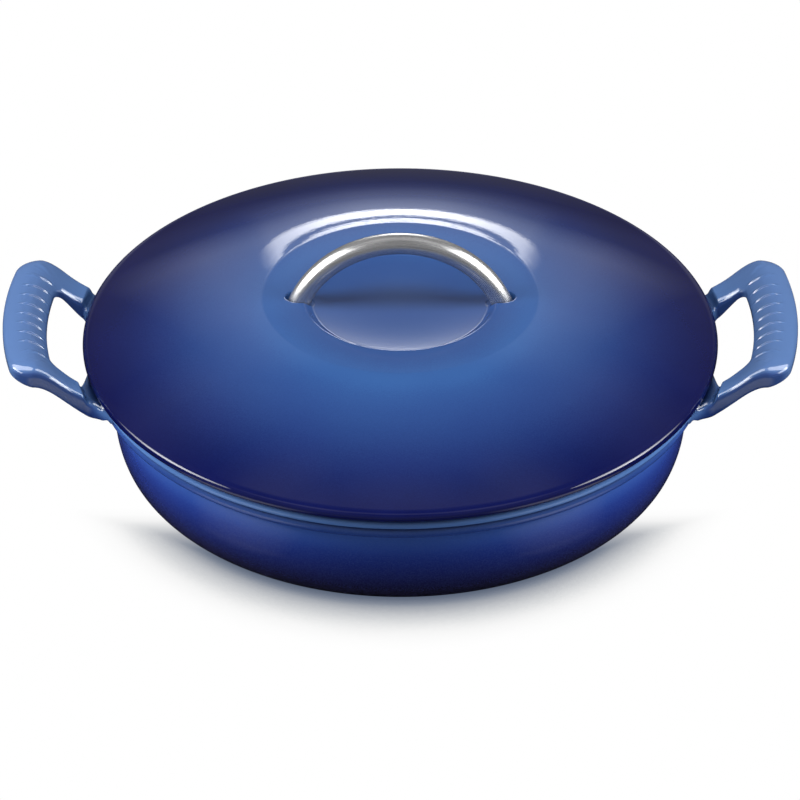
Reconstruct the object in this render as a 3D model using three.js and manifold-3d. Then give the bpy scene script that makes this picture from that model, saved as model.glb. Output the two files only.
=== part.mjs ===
// Shallow round casserole of enamelled cast iron: a bowl with two cast loop handles,
// a domed lid that lifts off, and a bent steel bar that is screwed to the lid as its handle.
// Millimetres, +Z up. The origin is the centre of the flat base.

import * as THREE from 'three';
import { mergeVertices } from 'three/addons/utils/BufferGeometryUtils.js';
import Module from 'manifold-3d';

const wasm = await Module();
wasm.setup();

const { degToRad, lerp, smoothstep, clamp } = THREE.MathUtils;

// Driving dimensions of the bowl
const POT_HEIGHT = 62.5;
const BOWL_RADIUS = 140;
const POT_WALL = 3.8;
const KNEE_RADIUS = 20.5;
const KNEE_TURN = degToRad(68.4);
const FLANK_RADIUS = 40.2;

// Driving dimensions of the rim, which has a round bead over a ring set back from it
const RIM_FLARE = 11.7;
const RIM_WIDTH = 13.2;
const RIM_BEAD = 2.8;
const RIM_BEAD_TURN = degToRad(95);
const RIM_ROUND = 2.0;
const RING_BEAD = 3.3;
const RING_TURN = degToRad(62);
const RING_SETBACK = 2;
const UNDERCUT_DROP = 6.4;
const UNDERCUT_TIGHTNESS = 0.15;

// Driving dimensions of the side handles
const HANDLE_REACH = 42;
const GRIP_WIDTH = 21.4;
const HANDLE_HALF_LENGTH = 51;
const HANDLE_NECK_HALF = 49.2;
const HANDLE_CORNER = 12;
const LOOP_HALF_LENGTH = 33.5;
const LOOP_NECK_HALF = 34.2;
const LOOP_CORNER = 5.5;
const ROOT_SINK = 8.2;
const ROOT_FLARE_OUTSIDE = 14;
const ROOT_FLARE_INSIDE = 27;
const ROOT_INSIDE_BEND = 1.6;
const ROOT_FOOT_SHARE = 0.6;
const LEDGE_WIDTH = 8.3;
const LEDGE_DROP = 0.9;
const LEDGE_STEP = 1.9;
const LEDGE_STEP_RUN = 0.8;
const RISE_LEAD = 4.6;
const GRIP_RISE = 19.4;
const CREST_INSET = 9.4;
const CREST_DROOP = 0.5;
const ROOT_THICKNESS = 14;
const ARM_THICKNESS = 10.6;
const ARM_RUN = 11;
const GRIP_THICKNESS = 10.8;
const EDGE_THICKNESS = 6.5;
const EDGE_SAG = 1.6;
const FINGER_RELIEF = 4.5;
const SECTION_SQUARENESS = 3.6;
const RIB_COUNT = 11;
const RIB_PITCH = 8.3;
const RIB_HEIGHT = 0.9;
const RIB_INSIDE_FADE = [-1, -0.7];
const RIB_OUTSIDE_FADE = [0.35, 0.75];

// Driving dimensions of the lid
const LID_OVERHANG = 3.3;
const LID_EDGE_BEAD = 2.5;
const LID_BEAD_TURN = degToRad(76);
const LID_WALL = 3.8;
const LID_RISE = 25;
const SHOULDER_RADIUS = 67.5;
const SHOULDER_BLEND = 3;
const SHOULDER_SLOPE_SHARE = 0.53;
const DISH_RADIUS = 50.4;
const DISH_DEPTH = 4.35;
const DISH_LIP_WIDTH = 11.9;
const DISH_LIP_HEIGHT = 3.75;
const SEAT_STEP = 0.7;
const SEAT_WIDTH = 5.8;
const SEAT_INSET = 2.1;
const RING_CLEARANCE = 1.3;
const RING_THICKNESS = 3;
const RING_REACH = 3;
const RING_ROUND = 0.6;

// Driving dimensions of the lid's handle and its fixings
const BAR_RADIUS = 5.2;
const ARCH_RADIUS = 53;
const ARCH_APEX = 30.6;
const SOCKET_DEPTH = 4;
const BOSS_WALL = 3.4;
const BOSS_FLOOR = 5.5;
const SCREW_RADIUS = 2;
const SCREW_BITE = 5;
const SCREW_HEAD_RADIUS = 4;
const SCREW_HEAD_HEIGHT = 2.6;
const DRIVE_SLOT_LENGTH = 4.6;
const DRIVE_SLOT_WIDTH = 1.1;
const DRIVE_SLOT_DEPTH = 1.4;
const WASHER_RADIUS = 6.5;
const WASHER_THICKNESS = 1.2;
const SEAL_RADIUS = 7;
const SEAL_THICKNESS = 1.5;

// Clearances and facet counts
const FACE_GAP = 0.3;
const SCREW_CLEARANCE = 0.3;
const SOCKET_SIDE_ROOM = 0.4;
const SOCKET_END_ROOM = 2.8;
const ROUND_SEGMENTS = 64;
const BAR_SIDES = 16;
const BAR_STEPS = 28;
const FIXING_SEGMENTS = 24;
const ARC_STEPS = 4;
const SMALL_ARC_STEPS = 2;
const SLOPE_STEPS = 5;
const UNDER_SLOPE_STEPS = 3;
const DISH_STEPS = 2;
const LIP_STEPS = 4;
const UNDER_LIP_STEPS = 2;
const SECTION_POINTS = 16;
const CORNER_TAIL_STEPS = 3;
const ARM_STEPS = 3;
const ROOT_STEPS = 3;
const CUT_MARGIN = 2;
const SAME_POINT = 1e-3;

const QUARTER = Math.PI / 2;

// Heights and radii that follow from the driving dimensions
const rimRadius = BOWL_RADIUS + RIM_FLARE;
const mouthRadius = rimRadius - RIM_WIDTH;
const lidRadius = rimRadius + LID_OVERHANG;
const lidEdgeZ = POT_HEIGHT + FACE_GAP + SEAT_STEP + LID_EDGE_BEAD;
const creaseRadius = lidRadius - LID_EDGE_BEAD;
const creaseZ = lidEdgeZ + LID_EDGE_BEAD;
const shoulderZ = lidEdgeZ + LID_RISE;
const socketFloorZ = shoulderZ - SOCKET_DEPTH;
const bossBottomZ = socketFloorZ - BOSS_FLOOR;
const barEndZ = socketFloorZ + FACE_GAP;
const archCentreZ = shoulderZ + ARCH_APEX - ARCH_RADIUS;
const socketX = Math.sqrt(ARCH_RADIUS ** 2 - (shoulderZ - archCentreZ) ** 2);
const socketHalfLength = BAR_RADIUS + SOCKET_END_ROOM;
const socketHalfWidth = BAR_RADIUS + SOCKET_SIDE_ROOM;
const bossRadius = socketHalfLength + BOSS_WALL;
const screwHoleRadius = SCREW_RADIUS + SCREW_CLEARANCE;

// Profile helpers: a profile is a list of radius and height, worked round counter-clockwise

function point(profile, radius, height) {
  const last = profile[profile.length - 1];
  const next = new THREE.Vector2(Math.max(radius, 0), height);
  if (!last || last.distanceTo(next) > SAME_POINT) profile.push(next);
}

function arc(profile, centreRadius, centreHeight, radius, from, to, steps) {
  for (let i = 0; i <= steps; i += 1) {
    const angle = lerp(from, to, i / steps);
    point(profile, centreRadius + radius * Math.cos(angle), centreHeight + radius * Math.sin(angle));
  }
}

function revolve(profile, segments = ROUND_SEGMENTS) {
  const geometry = new THREE.LatheGeometry(profile, segments);
  return solidOf(geometry.rotateX(QUARTER));
}

// Solid helpers

function solidOf(geometry) {
  const bare = geometry.clone();
  bare.deleteAttribute('normal');
  bare.deleteAttribute('uv');
  const merged = mergeVertices(bare);
  const corners = merged.index.array;
  const triVerts = [];
  for (let i = 0; i < corners.length; i += 3) {
    const [a, b, c] = corners.slice(i, i + 3);
    if (a !== b && b !== c && c !== a) triVerts.push(a, b, c);
  }
  return new wasm.Manifold(new wasm.Mesh({
    numProp: 3,
    vertProperties: new Float32Array(merged.attributes.position.array),
    triVerts: new Uint32Array(triVerts),
  }));
}

function geometryOf(solid) {
  const { vertProperties, triVerts } = solid.getMesh();
  const geometry = new THREE.BufferGeometry();
  geometry.setAttribute('position', new THREE.BufferAttribute(vertProperties, 3));
  geometry.setIndex(new THREE.BufferAttribute(triVerts, 1));
  geometry.computeVertexNormals();
  return geometry;
}

function uprightCylinder(radius, bottom, top, x, segments = FIXING_SEGMENTS) {
  const geometry = new THREE.CylinderGeometry(radius, radius, top - bottom, segments);
  return solidOf(geometry.rotateX(QUARTER).translate(x, 0, (top + bottom) / 2));
}

function block(width, depth, bottom, top, x) {
  const geometry = new THREE.BoxGeometry(width, depth, top - bottom);
  return solidOf(geometry.translate(x, 0, (top + bottom) / 2));
}

// Skins a row of closed sections, which all have as many points, and caps both ends
function loft(sections) {
  const count = sections[0].length;
  const positions = sections.flat().flatMap((p) => [p.x, p.y, p.z]);
  const faces = [];
  for (let s = 0; s < sections.length - 1; s += 1) {
    for (let k = 0; k < count; k += 1) {
      const a = s * count + k;
      const b = s * count + ((k + 1) % count);
      faces.push(a, b + count, b, a, a + count, b + count);
    }
  }
  const last = (sections.length - 1) * count;
  for (let k = 1; k < count - 1; k += 1) {
    faces.push(0, k, k + 1);
    faces.push(last, last + k + 1, last + k);
  }
  const geometry = new THREE.BufferGeometry();
  geometry.setAttribute('position', new THREE.Float32BufferAttribute(positions, 3));
  geometry.setIndex(faces);
  return solidOf(geometry);
}

// Bowl: a revolved wall of even thickness under a beaded rim

function bowlSolid() {
  const flankX = BOWL_RADIUS - FLANK_RADIUS;
  const kneeX = flankX + (FLANK_RADIUS - KNEE_RADIUS) * Math.sin(KNEE_TURN);
  const flankZ = KNEE_RADIUS + (FLANK_RADIUS - KNEE_RADIUS) * Math.cos(KNEE_TURN);
  const kneeEnd = KNEE_TURN - QUARTER;
  const beadX = rimRadius - RIM_BEAD;
  const beadZ = POT_HEIGHT - RIM_BEAD;
  const ringX = rimRadius - RING_SETBACK - RING_BEAD;
  const ringZ = POT_HEIGHT - 2 * RIM_BEAD - RING_BEAD;
  const roundX = mouthRadius + RIM_ROUND;
  const roundZ = POT_HEIGHT - RIM_ROUND;
  const undercutX = mouthRadius + POT_WALL;
  const undercutZ = ringZ - RING_BEAD - UNDERCUT_DROP;
  const hollow = new THREE.QuadraticBezierCurve(
    new THREE.Vector2(undercutX, undercutZ),
    new THREE.Vector2(lerp(undercutX, ringX, UNDERCUT_TIGHTNESS), ringZ - RING_BEAD),
    new THREE.Vector2(ringX, ringZ - RING_BEAD),
  );

  const profile = [];
  point(profile, 0, 0);
  arc(profile, kneeX, KNEE_RADIUS, KNEE_RADIUS, -QUARTER, kneeEnd, ARC_STEPS);
  arc(profile, flankX, flankZ, FLANK_RADIUS, kneeEnd, 0, SMALL_ARC_STEPS);
  hollow.getPoints(ARC_STEPS - 1).forEach((p) => point(profile, p.x, p.y));
  arc(profile, ringX, ringZ, RING_BEAD, -QUARTER, RING_TURN, SMALL_ARC_STEPS);
  arc(profile, beadX, beadZ, RIM_BEAD, -RIM_BEAD_TURN, QUARTER, ARC_STEPS);
  arc(profile, roundX, roundZ, RIM_ROUND, QUARTER, 2 * QUARTER, SMALL_ARC_STEPS);
  arc(profile, flankX, flankZ, FLANK_RADIUS - POT_WALL, 0, kneeEnd, SMALL_ARC_STEPS);
  arc(profile, kneeX, KNEE_RADIUS, KNEE_RADIUS - POT_WALL, kneeEnd, -QUARTER, ARC_STEPS - 1);
  point(profile, 0, POT_WALL);
  return revolve(profile);
}

// Side handle: a loop swept between an outer and an inner plan outline.
// Its height follows the distance from the pot's axis, so both arms climb from the rim in an S.

const handleOuterRadius = rimRadius + HANDLE_REACH;
const loopOuterRadius = handleOuterRadius - GRIP_WIDTH;
const crestRadius = handleOuterRadius - CREST_INSET;
const armRadius = rimRadius + LEDGE_WIDTH;

function riseHeight(radius) {
  const climb = smoothstep(radius, armRadius - RISE_LEAD, crestRadius);
  const past = Math.max(0, radius - crestRadius) / CREST_INSET;
  return POT_HEIGHT + lerp(LEDGE_STEP, GRIP_RISE, climb) - CREST_DROOP * past * past;
}

function topHeight(radius) {
  const onLedge = clamp((armRadius - radius) / LEDGE_STEP_RUN, 0, 1);
  return lerp(riseHeight(radius), POT_HEIGHT - LEDGE_DROP, onLedge);
}

// Thickness at the loop's outer side, between the root, the arm, the crest and the outer edge
function handleThickness(radius) {
  const stops = [
    [rimRadius, ROOT_THICKNESS],
    [armRadius + ARM_RUN, ARM_THICKNESS],
    [crestRadius, GRIP_THICKNESS],
    [handleOuterRadius, EDGE_THICKNESS],
  ];
  const within = clamp(radius, rimRadius, handleOuterRadius);
  const next = Math.max(1, stops.findIndex(([stop]) => within <= stop));
  const [[fromRadius, from], [toRadius, to]] = [stops[next - 1], stops[next]];
  return lerp(from, to, (within - fromRadius) / (toRadius - fromRadius));
}

// The underside is hollowed towards the loop, where the fingers curl round it
function undersideHeight(radius, across) {
  const relief = FINGER_RELIEF * smoothstep(radius, armRadius - RISE_LEAD, armRadius + ARM_RUN);
  return riseHeight(radius) - handleThickness(radius) + (relief * (1 - across)) / 2;
}

// The outer side of the arms and the grip hangs a little lower than the loop's side
function edgeSag(radius, across) {
  return EDGE_SAG * Math.max(0, across) ** 2 * smoothstep(radius, armRadius, armRadius + ARM_RUN);
}

// One plan outline of the loop's half, from the grip's middle to the start of its arm
function cornerOutline(radius, corner, halfLength) {
  const centreY = halfLength - corner;
  const centre = new THREE.Vector2(Math.sqrt((radius - corner) ** 2 - centreY ** 2), centreY);
  return { radius, corner, centre, turn: centre.angle() };
}

const outerOutline = cornerOutline(handleOuterRadius, HANDLE_CORNER, HANDLE_HALF_LENGTH);
const loopOutline = cornerOutline(loopOuterRadius, LOOP_CORNER, LOOP_HALF_LENGTH);

function polar(radius, angle) {
  return new THREE.Vector2(radius * Math.cos(angle), radius * Math.sin(angle));
}

// share runs 0 to 1 along the grip's arc and 1 to 2 round the corner
function outlinePoint({ radius, corner, centre, turn }, share) {
  if (share <= 1) return polar(radius, share * turn);
  return polar(corner, lerp(turn, QUARTER, share - 1)).add(centre);
}

function atRadius(radius, y) {
  return new THREE.Vector2(Math.sqrt(radius * radius - y * y), y);
}

function ribWindow(across) {
  return smoothstep(across, ...RIB_INSIDE_FADE) * (1 - smoothstep(across, ...RIB_OUTSIDE_FADE));
}

function roundedPower(value) {
  return Math.sign(value) * Math.abs(value) ** (2 / SECTION_SQUARENESS);
}

// A station holds the inner and outer points of the section's top, and of its foot where that is narrower
function station(top, rib = 0, foot = top) {
  return { top, rib, foot };
}

function handleSection({ top: topRails, rib, foot }) {
  const section = [];
  for (let k = 0; k < SECTION_POINTS; k += 1) {
    const angle = (4 * QUARTER * k) / SECTION_POINTS;
    const across = roundedPower(Math.cos(angle));
    const up = roundedPower(Math.sin(angle));
    const [inner, outer] = topRails.map((rail, side) => rail.clone().lerp(foot[side], (1 - up) / 2));
    const plan = inner.lerp(outer, (across + 1) / 2);
    const radius = plan.length();
    const sag = edgeSag(radius, across);
    const bottom = undersideHeight(radius, across) - sag;
    const top = topHeight(radius) - sag + rib * RIB_HEIGHT * ribWindow(across);
    section.push(new THREE.Vector3(plan.x, plan.y, lerp(bottom, top, (up + 1) / 2)));
  }
  return section;
}

// Pairs of outline points from the middle of the grip to the root in the rim
function handleStations() {
  const middleLine = (loopOuterRadius + handleOuterRadius) / 2;
  const gripLength = (middleLine * (outerOutline.turn + loopOutline.turn)) / 2;
  const cornerLength = ((HANDLE_CORNER + LOOP_CORNER) / 2) * (QUARTER - outerOutline.turn);
  const stations = [];
  const addGrip = (share, rib) => {
    stations.push(station([outlinePoint(loopOutline, share), outlinePoint(outerOutline, share)], rib));
  };

  let share = 0;
  for (let k = 0; k <= RIB_COUNT; k += 1) {
    const along = (k * RIB_PITCH) / 2;
    const next = along <= gripLength ? along / gripLength : 1 + (along - gripLength) / cornerLength;
    if (next >= 2) break;
    share = next;
    addGrip(share, k % 2 === 0 ? 1 : 0);
  }
  for (let i = 1; i <= CORNER_TAIL_STEPS; i += 1) {
    addGrip(lerp(share, 2, i / CORNER_TAIL_STEPS), 0);
  }

  const armEnd = [atRadius(armRadius, LOOP_NECK_HALF), atRadius(armRadius, HANDLE_NECK_HALF)];
  const gripEnd = stations[stations.length - 1].top;
  for (let i = 1; i <= ARM_STEPS; i += 1) {
    stations.push(station(gripEnd.map((rail, side) => rail.clone().lerp(armEnd[side], i / ARM_STEPS))));
  }
  const addRoot = (radius) => {
    const along = clamp((armRadius - radius) / LEDGE_WIDTH, 0, 1);
    const inside = ROOT_FLARE_INSIDE * along ** ROOT_INSIDE_BEND;
    const outside = ROOT_FLARE_OUTSIDE * (1 - Math.sqrt(1 - along * along));
    const flared = (part) => [
      atRadius(radius, LOOP_NECK_HALF - part * inside),
      atRadius(radius, HANDLE_NECK_HALF + part * outside),
    ];
    stations.push(station(flared(1), 0, flared(ROOT_FOOT_SHARE)));
  };
  for (let i = 0; i <= ROOT_STEPS; i += 1) {
    addRoot(lerp(armRadius - LEDGE_STEP_RUN, rimRadius, Math.sin((QUARTER * i) / ROOT_STEPS)));
  }
  addRoot(rimRadius - ROOT_SINK);
  return stations;
}

function handleSolid() {
  const half = handleStations();
  const mirror = (rails) => rails.map((rail) => new THREE.Vector2(rail.x, -rail.y));
  const mirrored = half.slice(1).map(({ top, rib, foot }) => station(mirror(top), rib, mirror(foot)));
  const around = [...mirrored.reverse(), ...half];
  return loft(around.map(handleSection));
}

function potSolid() {
  const right = handleSolid();
  const left = right.rotate([0, 0, 180]);
  return bowlSolid().add(right).add(left);
}

// Lid: a revolved shell with a flat shoulder, a dish in the middle and a convex slope to its round edge

const meanSlope = Math.atan2(shoulderZ - creaseZ, creaseRadius - SHOULDER_RADIUS);
const shoulderSlope = SHOULDER_SLOPE_SHARE * meanSlope;
const slopeStart = new THREE.Vector2(
  SHOULDER_RADIUS + SHOULDER_BLEND / 2,
  shoulderZ - (SHOULDER_BLEND * Math.tan(shoulderSlope)) / 2,
);
const slopeChord = new THREE.Vector2(creaseRadius, creaseZ).sub(slopeStart);
const edgeSlope = -2 * Math.atan2(slopeChord.y, slopeChord.x) - shoulderSlope;
const slopeRadius = slopeChord.length() / (2 * Math.sin((edgeSlope - shoulderSlope) / 2));
const slopeCentre = new THREE.Vector2(
  slopeStart.x - slopeRadius * Math.sin(shoulderSlope),
  slopeStart.y - slopeRadius * Math.cos(shoulderSlope),
);
const dishFloorRadius = DISH_RADIUS - DISH_LIP_WIDTH;

// Height of the sloping skin at a radius, for the top face or for a face below it
function slopeHeight(radius, below) {
  return slopeCentre.y + Math.sqrt((slopeRadius - below) ** 2 - (radius - slopeCentre.x) ** 2);
}

// The dish has a slightly hollow floor, and a lip that rises from it to the shoulder in an S
function dishHeight(radius, below) {
  const onFloor = Math.min(radius / dishFloorRadius, 1);
  const floor = lerp(-DISH_DEPTH, -DISH_LIP_HEIGHT, onFloor * onFloor);
  const onLip = smoothstep(radius, dishFloorRadius, DISH_RADIUS);
  return shoulderZ - below + lerp(floor, 0, onLip);
}

function lidShell() {
  const seatZ = POT_HEIGHT + FACE_GAP;
  const seatOuter = creaseRadius - SEAT_INSET - SEAT_STEP;
  const seatInner = seatOuter - SEAT_WIDTH;
  const ringOuter = mouthRadius - RING_CLEARANCE;
  const ringInner = ringOuter - RING_THICKNESS;
  const ringBottom = seatZ - RING_REACH;
  const underShoulder = shoulderZ - LID_WALL;

  const profile = [];
  point(profile, 0, dishHeight(0, LID_WALL));
  for (let i = 0; i <= UNDER_LIP_STEPS; i += 1) {
    const radius = lerp(dishFloorRadius, DISH_RADIUS, i / UNDER_LIP_STEPS);
    point(profile, radius, dishHeight(radius, LID_WALL));
  }
  point(profile, SHOULDER_RADIUS - SHOULDER_BLEND / 2, underShoulder);
  for (let i = 0; i <= UNDER_SLOPE_STEPS; i += 1) {
    const radius = lerp(slopeStart.x, ringInner, i / UNDER_SLOPE_STEPS);
    point(profile, radius, slopeHeight(radius, LID_WALL));
  }
  point(profile, ringInner, ringBottom + RING_ROUND);
  point(profile, ringInner + RING_ROUND, ringBottom);
  point(profile, ringOuter - RING_ROUND, ringBottom);
  point(profile, ringOuter, ringBottom + RING_ROUND);
  point(profile, ringOuter, slopeHeight(ringOuter, LID_WALL));
  point(profile, seatInner, slopeHeight(seatInner, LID_WALL));
  point(profile, seatInner, seatZ);
  point(profile, seatOuter, seatZ);
  point(profile, seatOuter + SEAT_STEP, seatZ + SEAT_STEP);
  arc(profile, creaseRadius, lidEdgeZ, LID_EDGE_BEAD, -QUARTER, LID_BEAD_TURN, ARC_STEPS + 1);
  for (let i = 0; i <= SLOPE_STEPS; i += 1) {
    const radius = lerp(creaseRadius, slopeStart.x, i / SLOPE_STEPS);
    point(profile, radius, slopeHeight(radius, 0));
  }
  point(profile, SHOULDER_RADIUS - SHOULDER_BLEND / 2, shoulderZ);
  for (let i = 0; i <= LIP_STEPS; i += 1) {
    const radius = lerp(DISH_RADIUS, dishFloorRadius, i / LIP_STEPS);
    point(profile, radius, dishHeight(radius, 0));
  }
  for (let i = 1; i <= DISH_STEPS; i += 1) {
    const radius = lerp(dishFloorRadius, 0, i / DISH_STEPS);
    point(profile, radius, dishHeight(radius, 0));
  }
  return revolve(profile);
}

// Oval well for one foot of the bar
function socketCutter(x) {
  const run = socketHalfLength - socketHalfWidth;
  const outline = new THREE.Shape();
  outline.absarc(run, 0, socketHalfWidth, -QUARTER, QUARTER, false);
  outline.absarc(-run, 0, socketHalfWidth, QUARTER, 3 * QUARTER, false);
  const geometry = new THREE.ExtrudeGeometry(outline, {
    depth: SOCKET_DEPTH + CUT_MARGIN,
    curveSegments: FIXING_SEGMENTS / 2,
    bevelEnabled: false,
  });
  return solidOf(geometry.translate(x, 0, socketFloorZ));
}

// The room under the middle of the lid's skin, in which the tops of the bosses end
function roomUnderSkin() {
  const profile = [];
  point(profile, 0, bossBottomZ - CUT_MARGIN);
  point(profile, SHOULDER_RADIUS, bossBottomZ - CUT_MARGIN);
  point(profile, SHOULDER_RADIUS, dishHeight(SHOULDER_RADIUS, LID_WALL / 2));
  for (let i = 0; i <= LIP_STEPS; i += 1) {
    const radius = lerp(DISH_RADIUS, dishFloorRadius, i / LIP_STEPS);
    point(profile, radius, dishHeight(radius, LID_WALL / 2));
  }
  point(profile, 0, dishHeight(0, LID_WALL / 2));
  return revolve(profile);
}

function lidSolid() {
  const room = roomUnderSkin();
  let solid = lidShell();
  [-socketX, socketX].forEach((x) => {
    const boss = uprightCylinder(bossRadius, bossBottomZ, shoulderZ, x, ROUND_SEGMENTS / 2);
    const hole = uprightCylinder(screwHoleRadius, bossBottomZ - CUT_MARGIN, shoulderZ, x);
    solid = solid.add(boss.intersect(room)).subtract(socketCutter(x)).subtract(hole);
  });
  return solid;
}

// Arched bar: its feet are cut level, to stand in the wells, and are tapped for the screws

class ArchCurve extends THREE.Curve {
  getPoint(t, target = new THREE.Vector3()) {
    const reach = Math.asin((barEndZ - 2 * BAR_RADIUS - archCentreZ) / ARCH_RADIUS);
    const angle = lerp(2 * QUARTER - reach, reach, t);
    return target.set(ARCH_RADIUS * Math.cos(angle), 0, archCentreZ + ARCH_RADIUS * Math.sin(angle));
  }
}

function barSolid() {
  const round = new THREE.Shape().absarc(0, 0, BAR_RADIUS, 0, 4 * QUARTER, false);
  const bar = new THREE.ExtrudeGeometry(round, {
    steps: BAR_STEPS,
    curveSegments: BAR_SIDES / 2,
    extrudePath: new ArchCurve(),
    bevelEnabled: false,
  });
  const span = 4 * ARCH_RADIUS;
  let solid = solidOf(bar).subtract(block(span, span, barEndZ - span, barEndZ, 0));
  [-socketX, socketX].forEach((x) => {
    const tapTop = barEndZ + SCREW_BITE + SCREW_CLEARANCE;
    solid = solid.subtract(uprightCylinder(screwHoleRadius, barEndZ - CUT_MARGIN, tapTop, x));
  });
  return solid;
}

// Fixings under the lid: soft washer against the boss, steel washer, then the screw's head

const sealTop = bossBottomZ - FACE_GAP;
const washerTop = sealTop - SEAL_THICKNESS - FACE_GAP;
const headTop = washerTop - WASHER_THICKNESS - FACE_GAP;

function washerSolid(radius, top, thickness, x) {
  const bottom = top - thickness;
  const hole = uprightCylinder(screwHoleRadius, bottom - CUT_MARGIN, top + CUT_MARGIN, x);
  return uprightCylinder(radius, bottom, top, x).subtract(hole);
}

function screwSolid(x) {
  const headBottom = headTop - SCREW_HEAD_HEIGHT;
  const crown = SCREW_HEAD_HEIGHT / 2;
  const profile = [];
  point(profile, 0, headBottom);
  arc(profile, SCREW_HEAD_RADIUS - crown, headBottom + crown, crown, -QUARTER, 0, ARC_STEPS - 1);
  point(profile, SCREW_HEAD_RADIUS, headTop);
  point(profile, SCREW_RADIUS, headTop);
  point(profile, SCREW_RADIUS, barEndZ + SCREW_BITE);
  point(profile, 0, barEndZ + SCREW_BITE);
  const slotTop = headBottom + DRIVE_SLOT_DEPTH;
  const slotBottom = headBottom - CUT_MARGIN;
  const along = block(DRIVE_SLOT_LENGTH, DRIVE_SLOT_WIDTH, slotBottom, slotTop, 0);
  const across = block(DRIVE_SLOT_WIDTH, DRIVE_SLOT_LENGTH, slotBottom, slotTop, 0);
  return revolve(profile, FIXING_SEGMENTS).subtract(along).subtract(across).translate([x, 0, 0]);
}

// Scene graph

const blueEnamel = { color: 0x24408f, roughness: 0.22, metalness: 0 };
const brushedSteel = { color: 0xb9b9b6, roughness: 0.35, metalness: 1 };
const plainSteel = { color: 0xa4a6a8, roughness: 0.4, metalness: 1 };
const greySilicone = { color: 0x3c3c40, roughness: 0.7, metalness: 0 };

function piece(name, solid, finish) {
  const mesh = new THREE.Mesh(geometryOf(solid), new THREE.MeshStandardMaterial(finish));
  mesh.name = name;
  return mesh;
}

const pot = new THREE.Group();
pot.add(piece('pot_body', potSolid(), blueEnamel));

const cover = new THREE.Group();
cover.add(piece('lid', lidSolid(), blueEnamel));
cover.add(piece('lid_handle', barSolid(), brushedSteel));
[['left', -socketX], ['right', socketX]].forEach(([side, x]) => {
  const seal = washerSolid(SEAL_RADIUS, sealTop, SEAL_THICKNESS, x);
  const washer = washerSolid(WASHER_RADIUS, washerTop, WASHER_THICKNESS, x);
  cover.add(piece(`${side}_seal_washer`, seal, greySilicone));
  cover.add(piece(`${side}_handle_washer`, washer, plainSteel));
  cover.add(piece(`${side}_handle_screw`, screwSolid(x), plainSteel));
});

const casserole = new THREE.Group();
casserole.add(pot, cover);

export default casserole;
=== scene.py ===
import math

import bpy
import numpy as np
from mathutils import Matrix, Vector


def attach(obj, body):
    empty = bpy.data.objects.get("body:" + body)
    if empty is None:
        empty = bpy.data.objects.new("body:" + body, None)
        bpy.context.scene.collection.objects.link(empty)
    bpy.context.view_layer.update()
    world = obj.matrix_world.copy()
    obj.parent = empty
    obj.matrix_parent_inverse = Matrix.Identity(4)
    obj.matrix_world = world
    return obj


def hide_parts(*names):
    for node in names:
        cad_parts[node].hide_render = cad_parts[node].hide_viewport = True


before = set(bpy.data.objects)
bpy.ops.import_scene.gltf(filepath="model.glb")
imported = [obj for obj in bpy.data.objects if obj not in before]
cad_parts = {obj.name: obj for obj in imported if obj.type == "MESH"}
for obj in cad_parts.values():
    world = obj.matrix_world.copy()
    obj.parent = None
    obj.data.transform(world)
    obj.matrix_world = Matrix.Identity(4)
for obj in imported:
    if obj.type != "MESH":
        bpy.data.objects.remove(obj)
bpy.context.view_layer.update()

# Shapes are in millimetres, as in the part's drawing, and their meshes are scaled to metres.
# Materials, lights and the camera are in metres.
MM = 0.001
QUARTER = math.pi / 2.0
FULL_TURN = 2.0 * math.pi

# Bowl
POT_HEIGHT = 62.5
BOWL_RADIUS = 140.0
POT_WALL = 3.8
KNEE_RADIUS = 20.5
KNEE_TURN = math.radians(68.4)
FLANK_RADIUS = 40.2
RIM_RADIUS = 151.7
RIM_WIDTH = 13.2
MOUTH_RADIUS = RIM_RADIUS - RIM_WIDTH
RIM_BEAD = 2.8
RIM_BEAD_START = math.radians(-95.0)
RIM_ROUND = 2.0
RING_BEAD = 3.3
RING_BEAD_END = math.radians(62.0)
RING_SETBACK = 2.0
UNDERCUT_DROP = 6.4
UNDERCUT_BEND = 0.15
BASE_RADII = (30.0, 60.0, 90.0)
BOWL_SEGMENTS = 320

# Side handles
HANDLE_REACH = 42.0
GRIP_WIDTH = 21.4
HANDLE_HALF = 51.0
HANDLE_NECK = 49.2
HANDLE_CORNER = 12.0
LOOP_HALF = 33.5
LOOP_NECK = 34.2
LOOP_CORNER = 5.5
ROOT_SINK = 8.2
ROOT_SINK_SHARES = (0.35, 1.0)
FLARE_OUT = 14.0
FLARE_IN = 27.0
FLARE_IN_BEND = 1.6
FOOT_SHARE = 0.6
LEDGE_WIDTH = 8.3
LEDGE_DROP = 0.9
LEDGE_STEP = 1.9
LEDGE_FALL_START = 0.3
LEDGE_FALL_RUN = 3.2
LEDGE_FALL_BEND = 2.6
TAIL_LIFT = 2.5
TAIL_RUN = 1.5
RISE_LEAD = 4.6
GRIP_RISE = 19.4
CREST_INSET = 9.4
CREST_DROOP = 0.5
ROOT_THICK = 14.0
ARM_THICK = 10.6
ARM_RUN = 11.0
GRIP_THICK = 10.8
EDGE_THICK = 6.5
EDGE_THIN_BEND = 1.3
EDGE_SAG = 1.6
FINGER_RELIEF = 4.5
SQUARENESS = 4.2
ROOT_SQUARENESS = 2.3
ROOT_BLEND_IN = 2.0
ROOT_BLEND_OUT = 4.0
RIB_COUNT = 11
RIB_PITCH = 8.3
RIB_HEIGHT = 0.65
RIB_HALF_WIDTH = 1.0
RIB_LEAD_IN = 3.0
RIB_LEAD_OUT = 2.0
OUTER_R = RIM_RADIUS + HANDLE_REACH
LOOP_R = OUTER_R - GRIP_WIDTH
CREST_R = OUTER_R - CREST_INSET
ARM_R = RIM_RADIUS + LEDGE_WIDTH
GRIP_STATIONS = 220
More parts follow.
